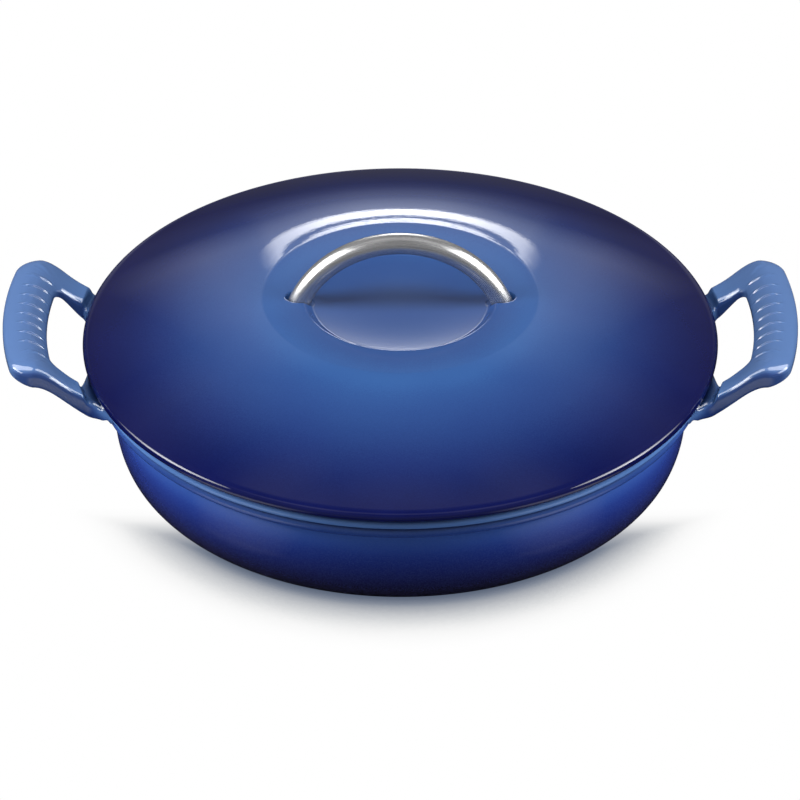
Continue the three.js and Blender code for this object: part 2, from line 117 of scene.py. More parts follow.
CORNER_STATIONS = 90
ARM_STATIONS = 30
ROOT_STATIONS = 50
SECTION_POINTS = 76

# Lid
LID_RADIUS = 155.0
LID_EDGE_Z = 66.0
LID_BEAD = 2.5
LID_BEAD_END = math.radians(74.0)
LID_WALL = 3.8
SHOULDER_Z = 91.0
SHOULDER_RADIUS = 67.5
SHOULDER_SLOPE = math.radians(7.9)
SHOULDER_FILLET = 14.0
SLOPE_START = 1.5
SLOPE_LEAD_IN = 0.2
SLOPE_LEAD_OUT = 5.0
DISH_RADIUS = 47.8
DISH_FLOOR_RADIUS = 42.0
DISH_LIP_HEIGHT = 3.75
DISH_DEPTH = 4.8
UNDER_SHOULDER_RADIUS = 67.0
UNDER_SHOULDER_FILLET = 6.0
UNDER_SLOPE_RADIUS = 72.0
SEAT_Z = 62.8
SEAT_INSET = 2.8
SEAT_WIDTH = 5.8
SEAT_CHAMFER = 0.7
LOCATING_GAP = 1.3
LOCATING_WIDTH = 3.0
LOCATING_DEPTH = 3.0
LOCATING_DRAFT = 0.1
LOCATING_LEAD = 3.0

# Lid handle with its wells and bosses
BAR_RADIUS = 5.2
ARCH_RADIUS = 53.0
ARCH_CENTRE_Z = 68.6
BAR_END_Z = 87.3
BAR_STATIONS = 181
BAR_SIDES = 64
SOCKET_X = 48.03
SOCKET_FLOOR_Z = 87.0
WELL_X = 48.8
WELL_HALF_LENGTH = 7.2
WELL_HALF_WIDTH = 5.45
WELL_EDGE = (-0.12, 0.35)
WELL_HALF_ANGLE = 0.17
WELL_COLUMNS = 61
OPEN_COLUMNS = 161
BOSS_RADIUS = 11.4
BOSS_BOTTOM_Z = 81.5
BOSS_EDGE = (-0.9, 0.5)

# Fineness of the lid's mesh: small steps where the wells and the dish's lip lie
COARSE_TURN = math.radians(9.0)
FINE_TURN = math.radians(0.8)
COARSE_LENGTH = 3.0
FINE_LENGTH = 0.28
FINE_FROM, FINE_TO = 38.0, 59.0
FLAT_CORNER = math.radians(89.5)
LONGEST_TRIM = 0.49
SAME_POINT = 1e-4


def smoothstep(x, low, high):
    t = np.clip((np.asarray(x, dtype=float) - low) / (high - low), 0.0, 1.0)
    return t * t * (3.0 - 2.0 * t)


def even_turn(count):
    return np.arange(count) * (FULL_TURN / count)


# Mesh helpers

def make_piece(name, points, faces, material, uv=None):
    mesh = bpy.data.meshes.new(name)
    mesh.from_pydata((np.asarray(points) * MM).tolist(), [], faces)
    mesh.validate()
    for polygon in mesh.polygons:
        polygon.use_smooth = True
    if uv is not None:
        layer = mesh.uv_layers.new(name="UVMap")
        loops = np.zeros(len(mesh.loops), dtype=np.int32)
        mesh.loops.foreach_get("vertex_index", loops)
        layer.data.foreach_set("uv", np.asarray(uv)[loops].ravel())
    mesh.materials.append(material)
    mesh.update()
    piece = bpy.data.objects.new(name, mesh)
    bpy.context.scene.collection.objects.link(piece)
    return piece


def ring_faces(rows, columns):
    faces = []
    for i in range(rows - 1):
        for j in range(columns):
            a = i * columns + j
            b = i * columns + (j + 1) % columns
            faces.append((a, b, b + columns, a + columns))
    return faces


def spun(profile, angles):
    """Points and faces of a profile turned round Z; its ends lie on the axis."""
    profile = np.asarray(profile, dtype=float)
    segments = len(angles)
    body = profile[1:-1]
    points = np.zeros((len(body), segments, 3))
    points[:, :, 0] = body[:, :1] * np.cos(angles)
    points[:, :, 1] = body[:, :1] * np.sin(angles)
    points[:, :, 2] = body[:, 1:]
    points = points.reshape(-1, 3)
    faces = ring_faces(len(body), segments)
    start = len(points)
    end = start + 1
    points = np.vstack([points, [0, 0, profile[0, 1]], [0, 0, profile[-1, 1]]])
    last = (len(body) - 1) * segments
    for j in range(segments):
        k = (j + 1) % segments
        faces.append((start, k, j))
        faces.append((end, last + j, last + k))
    return points, faces


def arc(centre, radius, start, stop, steps):
    angles = np.linspace(start, stop, steps + 1)
    x, z = centre
    return [(x + radius * math.cos(a), z + radius * math.sin(a)) for a in angles]


def rounded(corners, step):
    """A polyline of (radius, height, fillet) with each corner rounded by its fillet."""
    path = []
    for i, (x, z, fillet) in enumerate(corners):
        here = np.array([x, z])
        if fillet <= 0 or i in (0, len(corners) - 1):
            path.append(tuple(here))
            continue
        back = np.array(corners[i - 1][:2]) - here
        ahead = np.array(corners[i + 1][:2]) - here
        back_length, ahead_length = np.linalg.norm(back), np.linalg.norm(ahead)
        back, ahead = back / back_length, ahead / ahead_length
        half = math.acos(float(np.clip(back @ ahead, -1, 1))) / 2.0
        if half > FLAT_CORNER:
            path.append(tuple(here))
            continue
        trim = min(
            fillet / math.tan(half), LONGEST_TRIM * back_length, LONGEST_TRIM * ahead_length)
        fillet = trim * math.tan(half)
        bisector = (back + ahead) / np.linalg.norm(back + ahead)
        centre = here + bisector * (fillet / math.sin(half))
        first = here + back * trim - centre
        second = here + ahead * trim - centre
        start = math.atan2(first[1], first[0])
        turn = math.atan2(first[0] * second[1] - first[1] * second[0], float(first @ second))
        steps = max(2, int(abs(turn) / step))
        path += arc(centre, fillet, start, start + turn, steps)
    return path


def refined(path, longest):
    """Splits the long straight runs of a path, so that shading and the wells stay even."""
    out = [path[0]]
    for a, b in zip(path[:-1], path[1:]):
        length = math.dist(a, b)
        if length < SAME_POINT:
            continue
        count = max(1, math.ceil(length / longest(a, b)))
        for i in range(1, count + 1):
            t = i / count
            out.append((a[0] + (b[0] - a[0]) * t, a[1] + (b[1] - a[1]) * t))
    return out


# Node helpers

class Nodes:
    """Builds the node tree of a material or a world."""

    def __init__(self, owner):
        owner.use_nodes = True
        self.owner = owner
        self.tree = owner.node_tree
        self.shader = self.tree.nodes.get("Principled BSDF")

    def add(self, kind, **settings):
        node = self.tree.nodes.new(kind)
        for key, value in settings.items():
            setattr(node, key, value)
        return node

    def link(self, output, target):
        self.tree.links.new(output, target)

    def feed(self, sockets, values):
        """Sets each socket to a number or a colour, or links an output to it."""
        for socket, value in zip(sockets, values):
            if isinstance(value, (int, float)):
                socket.default_value = value
            elif isinstance(value, tuple):
                socket.default_value = (*value, 1.0)
            else:
                self.link(value, socket)

    def coordinates(self, kind):
        return self.add("ShaderNodeTexCoord").outputs[kind]

    def split(self, vector):
        node = self.add("ShaderNodeSeparateXYZ")
        self.link(vector, node.inputs[0])
        return node.outputs

    def math(self, operation, *values):
        node = self.add("ShaderNodeMath", operation=operation)
        self.feed(node.inputs, values)
        return node.outputs[0]

    def hypot(self, a, b):
        squares = [self.math("POWER", value, 2.0) for value in (a, b)]
        return self.math("SQRT", self.math("ADD", *squares))

    def noise(self, vector, scale, detail=2.0, roughness=0.5):
        node = self.add("ShaderNodeTexNoise")
        node.inputs["Scale"].default_value = scale
        node.inputs["Detail"].default_value = detail
        node.inputs["Roughness"].default_value = roughness
        self.link(vector, node.inputs["Vector"])
        return node.outputs["Fac"]

    def occlusion(self, distance, samples):
        node = self.add("ShaderNodeAmbientOcclusion", samples=samples)
        node.inputs["Distance"].default_value = distance
        return node.outputs["AO"]

    def ramp(self, value, stops, interpolation="LINEAR"):
        node = self.add("ShaderNodeValToRGB")
        node.color_ramp.interpolation = interpolation
        elements = node.color_ramp.elements
        while len(elements) < len(stops):
            elements.new(0.5)
        for element, (position, colour) in zip(elements, stops):
            element.position = position
            element.color = (*colour, 1.0)
        self.link(value, node.inputs["Fac"])
        return node.outputs["Color"]

    def levels(self, value, stops):
        """A ramp of plain numbers."""
        return self.ramp(value, [(position, (level,) * 3) for position, level in stops])

    def mix(self, factor, a, b):
        node = self.add("ShaderNodeMix", data_type="RGBA")
        # The colour sockets of this node come after those of its other data types
        self.feed((node.inputs[0], node.inputs[6], node.inputs[7]), (factor, a, b))
        return node.outputs[2]

    def map_range(self, value, low, high, to_low=0.0, to_high=1.0):
        node = self.add("ShaderNodeMapRange")
        self.feed(node.inputs, (value, low, high, to_low, to_high))
        return node.outputs[0]

    def bump(self, height, strength, distance, targets=("Normal", "Coat Normal")):
        node = self.add("ShaderNodeBump")
        node.inputs["Strength"].default_value = strength
        node.inputs["Distance"].default_value = distance
        self.link(height, node.inputs["Height"])
        for target in targets:
            self.link(node.outputs["Normal"], self.shader.inputs[target])

    def emission(self, socket, value):
        node = self.add("ShaderNodeEmission")
        self.link(value, node.inputs[socket])
        return node.outputs[0]

    def background(self, colour, strength=1.0):
        node = self.add("ShaderNodeBackground")
        self.feed((node.inputs["Color"], node.inputs["Strength"]), (colour, strength))
        return node.outputs[0]

    def mix_shader(self, factor, a, b):
        node = self.add("ShaderNodeMixShader")
        self.feed(node.inputs, (factor, a, b))
        return node.outputs[0]

    def add_shader(self, a, b):
        node = self.add("ShaderNodeAddShader")
        self.feed(node.inputs, (a, b))
        return node.outputs[0]

    def show(self, shader):
        """Puts a shader in the place of the material's own."""
        self.tree.nodes.remove(self.shader)
        self.link(shader, self.tree.nodes["Material Output"].inputs["Surface"])


def new_material(name):
    return Nodes(bpy.data.materials.new(name))


def linear(red, green, blue):
    """An 8-bit display colour as linear light."""
    def one(value):
        value /= 255.0
        return value / 12.92 if value <= 0.04045 else ((value + 0.055) / 1.055) ** 2.4
    return (one(red), one(green), one(blue))


# Enamel

ENAMEL_ROUGHNESS = 0.5
GLAZE_IOR = 1.5
LID_GLAZE_ROUGHNESS = 0.014
POT_GLAZE_ROUGHNESS = 0.03
SPECKLE_SCALE = 1500.0
CREAM = linear(226, 219, 200)
CREAM_SPECK = linear(196, 186, 164)
CREAM_SPAN = (0.45, 0.75)
CREAM_MOST = 0.5
NOISE_SPAN = (0.30, 0.70)

# The lid's blue ramp is centred a little in front of its middle, so the front slope comes out
# lighter and the rear slope darker
RAMP_CENTRE_SHIFT = 0.009
SPRAY_GRAIN = 0.0045
LID_BLUES = (
    (0.00, linear(56, 85, 141)),
    (0.30, linear(55, 86, 144)),
    (0.37, linear(57, 96, 157)),
    (0.42, linear(59, 102, 165)),
    (0.48, linear(52, 88, 150)),
    (0.55, linear(50, 83, 145)),
    (0.68, linear(38, 63, 124)),
    (0.775, linear(26, 44, 105)),
    (0.84, linear(17, 32, 91)),
    (0.90, linear(10, 21, 80)),
    (0.96, linear(6, 12, 74)),
    (1.00, linear(3, 6, 70)),
)
DRIFT_SCALE = 26.0
DRIFT_SPAN = (0.35, 0.65)
DRIFT_MOST = 0.10
DRIFT_BLUE = linear(30, 40, 120)
LID_PALE_RADIUS = 0.1500
GLAZE_RINGS_OUT = 700.0
GLAZE_RINGS_AROUND = 9.0
LID_BUMP = (0.20, 0.00006)

# The pot is dark at its base and light at its rim and handles; the darker stops at 0.60 and 0.65
# paint shade onto the ring bead under the rim
POT_BLUE_TOP = 0.084
POT_OMBRE_AND_RING_SHADE = (
    (0.00, linear(20, 14, 24)),
    (0.07, linear(26, 18, 34)),
    (0.18, linear(26, 22, 58)),
    (0.32, linear(26, 40, 112)),
    (0.42, linear(34, 57, 138)),
    (0.49, linear(48, 80, 160)),
    (0.55, linear(58, 92, 166)),
    (0.60, linear(32, 58, 128)),
    (0.65, linear(36, 64, 134)),
    (0.70, linear(88, 128, 188)),
    (0.78, linear(94, 134, 192)),
    (1.00, linear(92, 122, 173)),
)
SPECKLE_SPAN = (0.40, 0.70)
SPECKLE_MOST = 0.12
SPECKLE_BLUE = linear(90, 116, 180)
POT_PALE_RADIUS = 0.13855
# Painted shade from occlusion in creases
CREASE_SHADE_REACH = 0.007
CREASE_SHADE_FADE = (0.35, 0.85, 0.85, 0.0)
CREASE_SHADE_BLUE = linear(8, 20, 70)
# Painted shade from occlusion in the hollows at the handles' ledges
HOLLOW_SHADE_REACH = 0.016
HOLLOW_SHADE_FADE = (0.40, 0.85, 0.85, 0.0)
HOLLOW_SHADE_BLUE = linear(24, 42, 84)
OCCLUSION_SAMPLES = 8
LEDGE_SHADE_BEGINS = (0.1515, 0.1530)
LEDGE_SHADE_ENDS = (0.1640, 0.1580)
LEDGE_SHADE_UNDERSIDE = (0.0570, 0.0600)
# Painted shade on the arms' front and back faces
ARM_BEGINS = (0.1530, 0.1570)
ARM_SIDE_SHADE_LEAN = (0.50, 0.85)
ARM_SIDE_SHADE_MOST = 0.75
ARM_SIDE_SHADE_BLUE = linear(34, 58, 124)
POT_BUMP_SCALE = 190.0
POT_BUMP = (0.10, 0.00035)


def glossy(nodes, coat_roughness):
    inputs = nodes.shader.inputs
    inputs["Roughness"].default_value = ENAMEL_ROUGHNESS
    inputs["Coat Weight"].default_value = 1.0
    inputs["Coat Roughness"].default_value = coat_roughness
    inputs["Coat IOR"].default_value = GLAZE_IOR
    inputs["Specular IOR Level"].default_value = 0.0


def enamel_speckle(nodes, place):
    return nodes.noise(place, SPECKLE_SCALE, roughness=0.7)


def pale_enamel(nodes, speckle):
    return nodes.mix(
        nodes.map_range(speckle, *CREAM_SPAN, 0.0, CREAM_MOST), CREAM, CREAM_SPECK)


def enamel_lid():
    nodes = new_material("lid_enamel")
    place = nodes.coordinates("Object")
    axes = nodes.split(place)
    flat = nodes.hypot(axes["X"], axes["Y"])
    ramp_distance = nodes.hypot(axes["X"], nodes.math("ADD", axes["Y"], RAMP_CENTRE_SHIFT))
    speckle = enamel_speckle(nodes, place)
    grain = nodes.map_range(speckle, *NOISE_SPAN, -SPRAY_GRAIN, SPRAY_GRAIN)
    reach = nodes.map_range(nodes.math("ADD", ramp_distance, grain), 0.0, LID_RADIUS * MM)
    blue = nodes.ramp(reach, LID_BLUES, "B_SPLINE")
    drift = nodes.noise(place, DRIFT_SCALE, detail=3.0)
    blue = nodes.mix(nodes.map_range(drift, *DRIFT_SPAN, 0.0, DRIFT_MOST), blue, DRIFT_BLUE)
    # Underneath, up to the bead, the enamel is pale
    facing_down = nodes.math("LESS_THAN", nodes.split(nodes.coordinates("Normal"))["Z"], 0.0)
    inside = nodes.math("LESS_THAN", flat, LID_PALE_RADIUS)
    pale = nodes.math("MULTIPLY", inside, facing_down)
    enamel = nodes.mix(pale, blue, pale_enamel(nodes, speckle))
    nodes.link(enamel, nodes.shader.inputs["Base Color"])
    glossy(nodes, LID_GLAZE_ROUGHNESS)
    # The glaze is uneven in faint rings round the middle
    around = nodes.add("ShaderNodeCombineXYZ")
    turned = [
        nodes.math("MULTIPLY", nodes.math("DIVIDE", axes[axis], flat), GLAZE_RINGS_AROUND)
        for axis in "XY"
    ]
    nodes.feed(around.inputs, (nodes.math("MULTIPLY", flat, GLAZE_RINGS_OUT), *turned))
    rings = nodes.noise(around.outputs[0], scale=1.0, detail=3.0, roughness=0.6)
    nodes.bump(rings, *LID_BUMP)
    return nodes.owner


def enamel_pot():
    nodes = new_material("pot_enamel")
    place = nodes.coordinates("Object")
    axes = nodes.split(place)
    normal = nodes.split(nodes.coordinates("Normal"))
    flat = nodes.hypot(axes["X"], axes["Y"])
    height = nodes.map_range(axes["Z"], 0.0, POT_BLUE_TOP)
    # The height ramp also holds the painted shade on the ring bead
    blue = nodes.ramp(height, POT_OMBRE_AND_RING_SHADE, "B_SPLINE")
    speckle = enamel_speckle(nodes, place)
    specks = nodes.map_range(speckle, *SPECKLE_SPAN, 0.0, SPECKLE_MOST)
    blue = nodes.mix(specks, blue, SPECKLE_BLUE)
    # Painted shade: occlusion darkens the colour in creases
    crease = nodes.occlusion(CREASE_SHADE_REACH, OCCLUSION_SAMPLES)
    blue = nodes.mix(nodes.map_range(crease, *CREASE_SHADE_FADE), blue, CREASE_SHADE_BLUE)
    # Painted shade: occlusion darkens the hollows where the handles' ledges meet the rim
    ledge_shade_mask = nodes.math(
        "MULTIPLY", nodes.map_range(flat, *LEDGE_SHADE_BEGINS), nodes.map_range(flat, *LEDGE_SHADE_ENDS))
    ledge_shade_mask = nodes.math("MULTIPLY", ledge_shade_mask, nodes.map_range(axes["Z"], *LEDGE_SHADE_UNDERSIDE))
    hollow_occlusion = nodes.occlusion(HOLLOW_SHADE_REACH, OCCLUSION_SAMPLES)
    dark = nodes.math("MULTIPLY", ledge_shade_mask, nodes.map_range(hollow_occlusion, *HOLLOW_SHADE_FADE))
    blue = nodes.mix(dark, blue, HOLLOW_SHADE_BLUE)
    # Painted shade: the arms' front and back faces, whose normals lean towards Y, are darkened
    lean = nodes.math("ABSOLUTE", normal["Y"])
    arm_side_shade = nodes.math(
        "MULTIPLY", nodes.map_range(lean, *ARM_SIDE_SHADE_LEAN, 0.0, ARM_SIDE_SHADE_MOST),
        nodes.map_range(flat, *ARM_BEGINS))
    blue = nodes.mix(arm_side_shade, blue, ARM_SIDE_SHADE_BLUE)
    # Inside, where the normal leans up or towards the axis, the enamel is pale
    along = [nodes.math("MULTIPLY", normal[axis], axes[axis]) for axis in "XY"]
    outward = nodes.math("DIVIDE", nodes.math("ADD", *along), flat)
    faces_in = nodes.math("GREATER_THAN", nodes.math("SUBTRACT", normal["Z"], outward), 0.0)
    within = nodes.math("LESS_THAN", flat, POT_PALE_RADIUS)
    inner = nodes.math("MULTIPLY", faces_in, within)
    enamel = nodes.mix(inner, blue, pale_enamel(nodes, speckle))
    nodes.link(enamel, nodes.shader.inputs["Base Color"])
    glossy(nodes, POT_GLAZE_ROUGHNESS)
    nodes.bump(nodes.noise(place, POT_BUMP_SCALE), *POT_BUMP)
    return nodes.owner


# Steel and silicone

BRUSH_STRETCH = (6.0, 260.0, 1.0)
BRUSH_GREYS = ((0.25, linear(182, 182, 182)), (0.75, linear(206, 206, 205)))
BRUSH_ROUGHNESS = (0.23, 0.30)
BRUSH_METALLIC = 0.78
BRUSH_BUMP = (0.05, 0.0002)


def brushed_bar():
    nodes = new_material("brushed_bar")
    inputs = nodes.shader.inputs
    stretch = nodes.add("ShaderNodeMapping")
    stretch.inputs["Scale"].default_value = BRUSH_STRETCH
    nodes.link(nodes.coordinates("UV"), stretch.inputs["Vector"])
    streaks = nodes.noise(stretch.outputs[0], scale=1.0, detail=4.0, roughness=0.65)
    nodes.link(nodes.ramp(streaks, BRUSH_GREYS), inputs["Base Color"])
    nodes.link(nodes.map_range(streaks, *NOISE_SPAN, *BRUSH_ROUGHNESS), inputs["Roughness"])
    inputs["Metallic"].default_value = BRUSH_METALLIC
    nodes.bump(streaks, *BRUSH_BUMP, targets=("Normal",))
    return nodes.owner


def grained(name, scale, dark, light, roughness, metallic):
    """A plain material with a fine grain in its colour and roughness."""
    nodes = new_material(name)
    inputs = nodes.shader.inputs
    grain = nodes.noise(nodes.coordinates("Object"), scale, detail=3.0)
    stops = tuple(zip(NOISE_SPAN, (dark, light)))
    nodes.link(nodes.ramp(grain, stops), inputs["Base Color"])
    nodes.link(nodes.map_range(grain, *NOISE_SPAN, *roughness), inputs["Roughness"])
    inputs["Metallic"].default_value = metallic
    return nodes.owner


# Bowl

def bowl_profile():
    """Radius and height from the middle of the base, up the outside and down the inside."""
    softer = FLANK_RADIUS - KNEE_RADIUS
    flank = (BOWL_RADIUS - FLANK_RADIUS, KNEE_RADIUS + softer * math.cos(KNEE_TURN))
    knee = (flank[0] + softer * math.sin(KNEE_TURN), KNEE_RADIUS)
    knee_end = KNEE_TURN - QUARTER
    bead = (RIM_RADIUS - RIM_BEAD, POT_HEIGHT - RIM_BEAD)
    ring = (RIM_RADIUS - RING_SETBACK - RING_BEAD, POT_HEIGHT - 2.0 * RIM_BEAD - RING_BEAD)
    mouth = (MOUTH_RADIUS + RIM_ROUND, POT_HEIGHT - RIM_ROUND)
    under = np.array([ring[0], ring[1] - RING_BEAD])
    undercut = np.array([MOUTH_RADIUS + POT_WALL, ring[1] - RING_BEAD - UNDERCUT_DROP])
    bend = np.array([undercut[0] + UNDERCUT_BEND * (ring[0] - undercut[0]), under[1]])
    path = [(r, 0.0) for r in (0.0, *BASE_RADII)]
    path += arc(knee, KNEE_RADIUS, -QUARTER, knee_end, 18)
    path += arc(flank, FLANK_RADIUS, knee_end, 0.0, 10)[1:]
    for t in np.linspace(0.0, 1.0, 13):
        point = (1 - t) ** 2 * undercut + 2 * t * (1 - t) * bend + t * t * under
        path.append(tuple(point))
    path += arc(ring, RING_BEAD, -QUARTER, RING_BEAD_END, 16)[1:]
    path += arc(bead, RIM_BEAD, RIM_BEAD_START, QUARTER, 20)
    path += arc(mouth, RIM_ROUND, QUARTER, math.pi, 8)
    path += arc(flank, FLANK_RADIUS - POT_WALL, 0.0, knee_end, 8)
    path += arc(knee, KNEE_RADIUS - POT_WALL, knee_end, -QUARTER, 14)[1:]
    path += [(r, POT_WALL) for r in (*reversed(BASE_RADII), 0.0)]
    return path


# Side handle: r is the distance from the pot's axis, across runs from -1 at the loop's side of
# a section to 1 at its outer side

def rise_height(r):
    climb = smoothstep(r, ARM_R - RISE_LEAD, CREST_R)
    past = np.maximum(0.0, r - CREST_R) / CREST_INSET
    return POT_HEIGHT + LEDGE_STEP + (GRIP_RISE - LEDGE_STEP) * climb - CREST_DROOP * past ** 2


def top_height(r):
    """The arm's rise, which falls to a ledge at the rim."""
    t = np.clip((ARM_R + LEDGE_FALL_START - r) / LEDGE_FALL_RUN, 0.0, 1.0)
    down = 1.0 - (1.0 - t) ** LEDGE_FALL_BEND
    return rise_height(r) * (1 - down) + (POT_HEIGHT - LEDGE_DROP) * down


def thickness(r):
    knots = ((RIM_RADIUS, ROOT_THICK), (ARM_R + ARM_RUN, ARM_THICK), (CREST_R, GRIP_THICK))
    value = np.full(np.shape(r), ROOT_THICK)
    for (r0, h0), (r1, h1) in zip(knots[:-1], knots[1:]):
        value = np.where(r > r0, h0 + (h1 - h0) * smoothstep(r, r0, r1), value)
    past = np.clip((r - CREST_R) / CREST_INSET, 0.0, 1.0) ** EDGE_THIN_BEND
    return np.where(r > CREST_R, GRIP_THICK + (EDGE_THICK - GRIP_THICK) * past, value)


def underside(r, across):
    """The underside is relieved for the fingers on the loop's side."""
    relief = FINGER_RELIEF * smoothstep(r, ARM_R - RISE_LEAD, ARM_R + ARM_RUN)
    return rise_height(r) - thickness(r) + relief * (1.0 - across) / 2.0


def edge_sag(r, across):
    """The outer side of the arms and the grip hangs a little lower than the loop's side."""
    return EDGE_SAG * np.maximum(0.0, across) ** 2 * smoothstep(r, ARM_R, ARM_R + ARM_RUN)


def corner_outline(radius, corner, half):
    """An arc round the pot's axis with a rounded corner at half of its width."""
    y = half - corner
    x = math.sqrt((radius - corner) ** 2 - y * y)
    return radius, corner, np.array([x, y]), math.atan2(y, x)


def outline_point(outline, share):
    """Shares 0 to 1 run along the arc, 1 to 2 round the corner."""
    radius, corner, centre, turn = outline
    if share <= 1.0:
        return radius * np.array([math.cos(share * turn), math.sin(share * turn)])
    angle = turn + (QUARTER - turn) * (share - 1.0)
    return centre + corner * np.array([math.cos(angle), math.sin(angle)])


def at_radius(radius, y):
    return np.array([math.sqrt(radius * radius - y * y), y])


def station(inner, outer, foot=None):
    """The inner and outer points of a section's top, and of its foot where that is narrower."""
    return (inner, outer), (foot or (inner, outer))


def handle_stations():
    """Sections of half a handle, from the middle of the grip round the corner to the root."""
    outer = corner_outline(OUTER_R, HANDLE_CORNER, HANDLE_HALF)
    loop = corner_outline(LOOP_R, LOOP_CORNER, LOOP_HALF)
    outer_turn, loop_turn = outer[-1], loop[-1]
    straight_y = LOOP_R * math.sin(loop_turn)
    stations = []
    for i in range(GRIP_STATIONS + 1):
        y = straight_y * i / GRIP_STATIONS
        share_in = math.asin(y / LOOP_R) / loop_turn
        share_out = math.asin(y / OUTER_R) / outer_turn
        inner_point = outline_point(loop, min(share_in, 1.0))
        stations.append(station(inner_point, outline_point(outer, share_out)))
    for i in range(1, CORNER_STATIONS + 1):
        w = i / CORNER_STATIONS
        outer_point = outline_point(outer, share_out + (2.0 - share_out) * w)
        stations.append(station(outline_point(loop, 1.0 + w), outer_point))
    (grip_in, grip_out), _ = stations[-1]
    arm_in, arm_out = at_radius(ARM_R, LOOP_NECK), at_radius(ARM_R, HANDLE_NECK)
    for i in range(1, ARM_STATIONS + 1):
        w = i / ARM_STATIONS
        inner_point = grip_in + (arm_in - grip_in) * w
        stations.append(station(inner_point, grip_out + (arm_out - grip_out) * w))
    for i in range(1, ROOT_STATIONS + 1):
        t = math.sin(QUARTER * i / ROOT_STATIONS)
        inside = FLARE_IN * t ** FLARE_IN_BEND
        outside = FLARE_OUT * (1.0 - math.sqrt(max(0.0, 1.0 - t * t)))
        radius = ARM_R - LEDGE_WIDTH * t
        top, foot = (
            (
                at_radius(radius, LOOP_NECK - part * inside),
                at_radius(radius, HANDLE_NECK + part * outside),
            )
            for part in (1.0, FOOT_SHARE)
        )
        stations.append(station(*top, foot))
    top, foot = stations[-1]
    for sink in ROOT_SINK_SHARES:
        scale = (RIM_RADIUS - sink * ROOT_SINK) / RIM_RADIUS
        stations.append(station(top[0] * scale, top[1] * scale, (foot[0] * scale, foot[1] * scale)))
    return stations


def section_parameters(flare):
    """Across and up of a section's points: a rounded box, rounder where the root flares."""
    cosine, sine = np.cos(even_turn(SECTION_POINTS)), np.sin(even_turn(SECTION_POINTS))
    power = 2.0 / (SQUARENESS + (ROOT_SQUARENESS - SQUARENESS) * flare)
    across = np.sign(cosine) * np.abs(cosine) ** power
    up = np.sign(sine) * np.abs(sine) ** power
    return across, up


def ribs(x, y):
    height = np.zeros_like(x)
    middle = (RIB_COUNT - 1) / 2.0
    for k in range(RIB_COUNT):
        offset = np.minimum(np.abs(y - (k - middle) * RIB_PITCH) / RIB_HALF_WIDTH, 1.0)
        height += np.where(offset < 1.0, (1.0 + np.cos(math.pi * offset)) / 2.0, 0.0)
    radius = np.hypot(x, y)
    begins = smoothstep(radius, LOOP_R, LOOP_R + RIB_LEAD_IN)
    ends = smoothstep(radius, CREST_R - RIB_LEAD_OUT, CREST_R + RIB_LEAD_OUT)
    return RIB_HEIGHT * height * (begins * (1.0 - ends))


def handle_mesh(side):
    """Points and faces of a handle; side is 1 for the right one and -1 for the left one."""
    half = handle_stations()
    mirrored = [
        tuple(tuple(point * (1, -1) for point in rails) for rails in pair) for pair in half[1:]
    ]
    rows = []
    for top_rails, foot_rails in mirrored[::-1] + half:
        reach = float(np.hypot(*((foot_rails[0] + foot_rails[1]) / 2.0)))
        away = smoothstep(reach, RIM_RADIUS - ROOT_BLEND_IN, ARM_R + ROOT_BLEND_OUT)
        across, up = section_parameters(float(1.0 - away))
        share = ((across + 1.0) / 2.0)[:, None]
        depth = ((1.0 - up) / 2.0)[:, None]
        inner = top_rails[0] * (1.0 - depth) + foot_rails[0] * depth
        outer = top_rails[1] * (1.0 - depth) + foot_rails[1] * depth
        plan = inner * (1.0 - share) + outer * share
        radius = np.hypot(plan[:, 0], plan[:, 1])
        sag = edge_sag(radius, across)
        tail = TAIL_LIFT * (1.0 - smoothstep(radius, RIM_RADIUS, RIM_RADIUS + TAIL_RUN))
        bottom = underside(radius, across) - sag + tail
        top = top_height(radius) - sag + ribs(plan[:, 0], plan[:, 1])
        z = bottom + (top - bottom) * (up + 1.0) / 2.0
        rows.append(np.column_stack([plan, z]))
    points = np.vstack(rows)
    points[:, :2] *= side
    faces = [face[::-1] for face in ring_faces(len(rows), SECTION_POINTS)]
    last = (len(rows) - 1) * SECTION_POINTS
    faces.append(tuple(range(SECTION_POINTS)))
    faces.append(tuple(reversed(range(last, last + SECTION_POINTS))))
    return points, faces


# Lid

